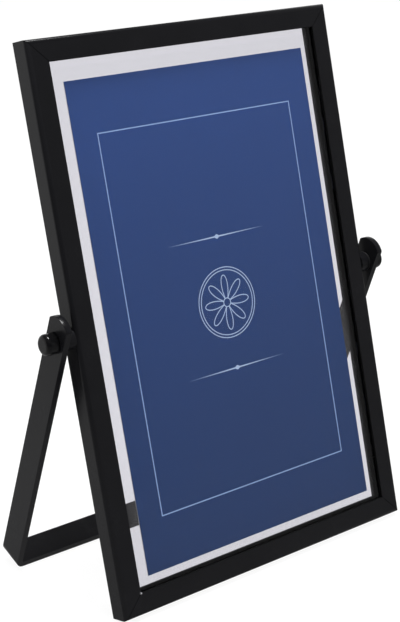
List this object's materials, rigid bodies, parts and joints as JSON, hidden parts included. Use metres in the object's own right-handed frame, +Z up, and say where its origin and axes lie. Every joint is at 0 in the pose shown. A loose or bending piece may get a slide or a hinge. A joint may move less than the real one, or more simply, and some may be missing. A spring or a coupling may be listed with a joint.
{
  "type": "tabletop photo frame",
  "caption": "Slim black metal photo frame holding a floating picture between glass panes, leaning back on a U-shaped bar stand that swivels on side knobs.",
  "frame": {"origin": "on the table, below the middle of the frame and its stand at rest", "axes": "+X across the frame to the right as seen from the front, +Y backwards, away from the viewer, +Z up"},
  "size_m": [0.149, 0.066, 0.1859],
  "materials": {
    "frame_black": "satin black paint",
    "knob_black": "gloss black paint",
    "blackened_steel": "black oxide, lightly oiled",
    "spring_steel": "blued, lightly oiled",
    "nylon": "plain black nylon",
    "clear_glass": "clear, polished",
    "printed_paper": "printed photo card"
  },
  "bodies": {
    "frame": {"rail_top": "frame_black", "rail_bottom": "frame_black", "stile_left": "frame_black", "stile_right": "frame_black", "pivot_boss_left": "frame_black", "pivot_boss_right": "frame_black", "corner_key_top_left": "blackened_steel", "corner_key_top_right": "blackened_steel", "corner_key_bottom_left": "blackened_steel", "corner_key_bottom_right": "blackened_steel", "key_screws": "blackened_steel", "pane_spring_top": "spring_steel", "pane_spring_bottom": "spring_steel", "pane_springs_left": "spring_steel", "pane_springs_right": "spring_steel", "friction_washer_left": "nylon", "friction_washer_right": "nylon", "glass_front": "clear_glass", "glass_rear": "clear_glass", "picture": "printed_paper"},
    "stand": {"stand_bar": "frame_black"},
    "knob_left": {"knob_left": "knob_black", "knob_stud_left": "blackened_steel", "outer_washer_left": "knob_black"},
    "knob_right": {"knob_right": "knob_black", "knob_stud_right": "blackened_steel", "outer_washer_right": "knob_black"}
  },
  "joints": [
    {"name": "stand_swing", "type": "hinge", "parent": "frame", "child": "stand", "pos_m": [0, -0.00672, 0.09311], "axis": [1, 0, 0], "continuous": true},
    {"name": "knob_left_turn", "type": "hinge", "parent": "frame", "child": "knob_left", "pos_m": [-0.0703, -0.00672, 0.09311], "axis": [-1, 0, 0], "range_deg": [0, 180]},
    {"name": "knob_right_turn", "type": "hinge", "parent": "frame", "child": "knob_right", "pos_m": [0.0703, -0.00672, 0.09311], "axis": [1, 0, 0], "range_deg": [0, 180]}
  ]
}
